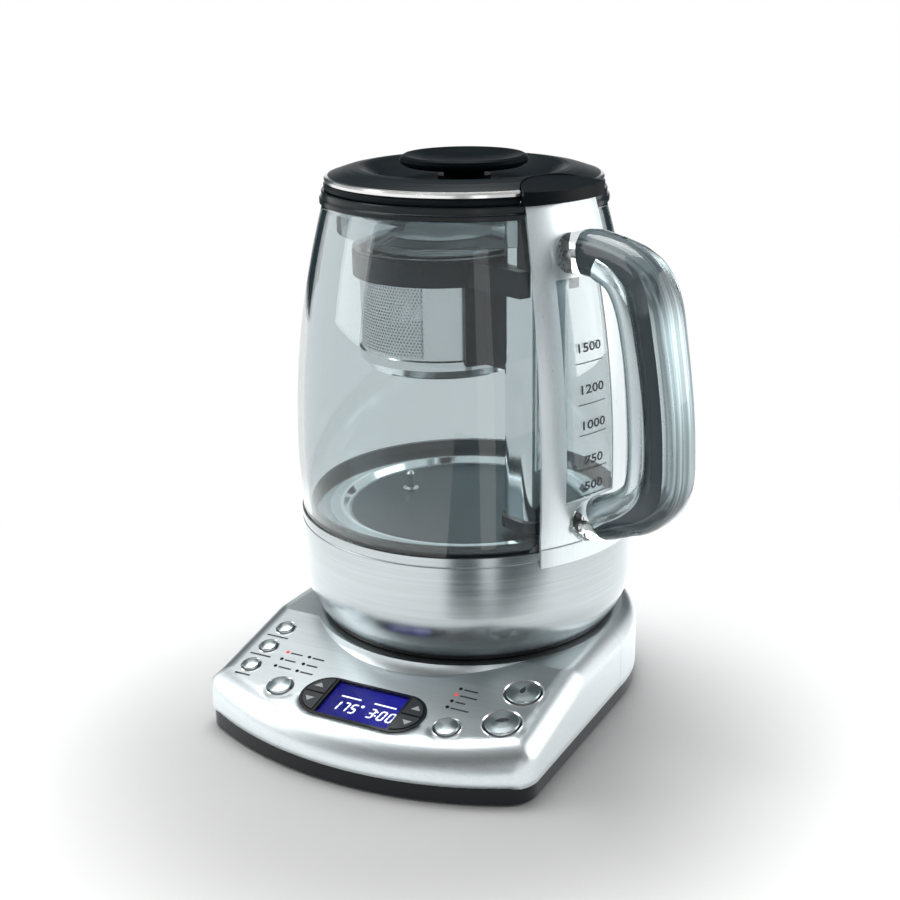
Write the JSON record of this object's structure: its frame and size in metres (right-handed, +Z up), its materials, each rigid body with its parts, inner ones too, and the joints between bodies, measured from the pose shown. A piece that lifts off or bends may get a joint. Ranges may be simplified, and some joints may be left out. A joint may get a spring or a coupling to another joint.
{
  "type": "automatic tea maker",
  "caption": "Glass tea maker: a jug with a motor-lifted infuser basket, a lift-off lid and clear handle, on a powered base with keys and a display.",
  "frame": {"origin": "on the table plane, under the axis of the jug and of the base's round socket", "axes": "+X to the user's right, -Y towards the user and the key panel, +Z up; the jug's handle points 20.5 degrees from +X towards the front"},
  "size_m": [0.2104, 0.2075, 0.2524],
  "materials": {
    "black": "gloss moulded black",
    "steel": "brushed",
    "rubber": "matt",
    "screw": "bright",
    "dark": "fine matt",
    "board": "solder mask",
    "parts": "moulded",
    "window": "clear",
    "screen": "lit blue",
    "lamp_off": "dark lens",
    "lamp_on": "lit red lens",
    "key_metal": "spun",
    "key_dark": "satin dark grey",
    "bright": "polished",
    "seal": "satin",
    "glass": "clear",
    "acrylic": "clear thick",
    "grip": "satin",
    "smoked": "smoked clear",
    "cast": "as cast",
    "brass": "machined",
    "seal_grey": "soft"
  },
  "bodies": {
    "base": {"base_tray": "dark", "base_feet": "rubber", "base_screws": "screw", "base_cover": "steel", "base_socket": "dark", "cord_gland": "dark", "power_board": "board", "power_parts": "parts", "control_board": "board", "key_switches": "dark", "display_bezel": "black", "display_panel": "screen", "display_window": "window", "key_rings": "bright", "status_lamps": "lamp_off", "lit_lamps": "lamp_on"},
    "auto_key": {"auto_key": "key_metal"},
    "warm_key": {"warm_key": "key_metal"},
    "basket_key": {"basket_key": "key_metal"},
    "tea_type_key": {"tea_type_key": "key_metal"},
    "strength_key": {"strength_key": "key_metal"},
    "hot_water_key": {"hot_water_key": "key_metal"},
    "tea_key": {"tea_key": "key_metal"},
    "temp_up_key": {"temp_up_key": "key_dark"},
    "temp_down_key": {"temp_down_key": "key_dark"},
    "time_up_key": {"time_up_key": "key_dark"},
    "time_down_key": {"time_down_key": "key_dark"},
    "socket_collar": {"socket_collar": "dark"},
    "jug": {"jug_foot": "black", "jug_connector": "dark", "jug_cup": "steel", "heating_element": "cast", "floor_plate": "bright", "temperature_probe": "bright", "glass_seal": "seal", "jug_glass": "glass", "jug_collar": "black", "pour_spout": "black", "handle_bracket": "steel", "level_window": "window", "handle_loop": "acrylic", "handle_insert": "grip", "handle_screws": "screw", "column_foot": "dark", "lift_column": "bright", "column_head": "dark", "column_cap": "black", "lift_motor": "cast"},
    "lift_screw": {"lift_screw": "brass"},
    "basket_carriage": {"carriage": "dark", "drive_nut": "brass", "carriage_magnet": "cast", "basket_can": "steel", "basket_rim": "bright"},
    "basket_lid": {"basket_lid": "smoked"},
    "lid": {"lid_cover": "black", "lid_trim": "bright", "lid_knob": "black", "lid_skirt": "smoked", "lid_seal": "seal_grey"}
  },
  "joints": [
    {"name": "auto_key_push", "type": "slide", "parent": "base", "child": "auto_key", "axis": [0, 0.2028, -0.9792], "range_m": [0, 0.0008], "stiffness_N_per_m": 400, "springref_m": -0.001},
    {"name": "warm_key_push", "type": "slide", "parent": "base", "child": "warm_key", "axis": [0, 0.2028, -0.9792], "range_m": [0, 0.0008], "stiffness_N_per_m": 400, "springref_m": -0.001},
    {"name": "basket_key_push", "type": "slide", "parent": "base", "child": "basket_key", "axis": [0, 0.2028, -0.9792], "range_m": [0, 0.0008], "stiffness_N_per_m": 400, "springref_m": -0.001},
    {"name": "tea_type_key_push", "type": "slide", "parent": "base", "child": "tea_type_key", "axis": [0, 0.2028, -0.9792], "range_m": [0, 0.0008], "stiffness_N_per_m": 400, "springref_m": -0.001},
    {"name": "strength_key_push", "type": "slide", "parent": "base", "child": "strength_key", "axis": [0, 0.2028, -0.9792], "range_m": [0, 0.0008], "stiffness_N_per_m": 400, "springref_m": -0.001},
    {"name": "hot_water_key_push", "type": "slide", "parent": "base", "child": "hot_water_key", "axis": [0, 0.2028, -0.9792], "range_m": [0, 0.0008], "stiffness_N_per_m": 400, "springref_m": -0.001},
    {"name": "tea_key_push", "type": "slide", "parent": "base", "child": "tea_key", "axis": [0, 0.2028, -0.9792], "range_m": [0, 0.0008], "stiffness_N_per_m": 400, "springref_m": -0.001},
    {"name": "temp_up_key_push", "type": "slide", "parent": "base", "child": "temp_up_key", "axis": [0, 0.2028, -0.9792], "range_m": [0, 0.0008], "stiffness_N_per_m": 400, "springref_m": -0.001},
    {"name": "temp_down_key_push", "type": "slide", "parent": "base", "child": "temp_down_key", "axis": [0, 0.2028, -0.9792], "range_m": [0, 0.0008], "stiffness_N_per_m": 400, "springref_m": -0.001},
    {"name": "time_up_key_push", "type": "slide", "parent": "base", "child": "time_up_key", "axis": [0, 0.2028, -0.9792], "range_m": [0, 0.0008], "stiffness_N_per_m": 400, "springref_m": -0.001},
    {"name": "time_down_key_push", "type": "slide", "parent": "base", "child": "time_down_key", "axis": [0, 0.2028, -0.9792], "range_m": [0, 0.0008], "stiffness_N_per_m": 400, "springref_m": -0.001},
    {"name": "jug_swivel", "type": "hinge", "parent": "base", "child": "socket_collar", "pos_m": [0, 0, 0.04], "axis": [0, 0, 1], "continuous": true},
    {"name": "jug_lift_off", "type": "slide", "parent": "socket_collar", "child": "jug", "axis": [0, 0, 1], "range_m": [0, 0.08]},
    {"name": "lid_lift_off", "type": "slide", "parent": "jug", "child": "lid", "axis": [0, 0, 1], "range_m": [0, 0.1]},
    {"name": "basket_travel", "type": "slide", "parent": "jug", "child": "basket_carriage", "axis": [0, 0, -1], "range_m": [0, 0.055]},
    {"name": "basket_lid_lift", "type": "slide", "parent": "basket_carriage", "child": "basket_lid", "axis": [0, 0, 1], "range_m": [0, 0.009]},
    {"name": "lift_screw_turn", "type": "hinge", "parent": "jug", "child": "lift_screw", "pos_m": [0.04309, -0.01611, 0.15], "axis": [0, 0, 1], "range_deg": [-3610, 10]}
  ],
  "couplings": [
    {"joint": "lift_screw_turn", "follows": "basket_travel", "rad_per_m": -1142.4}
  ]
}
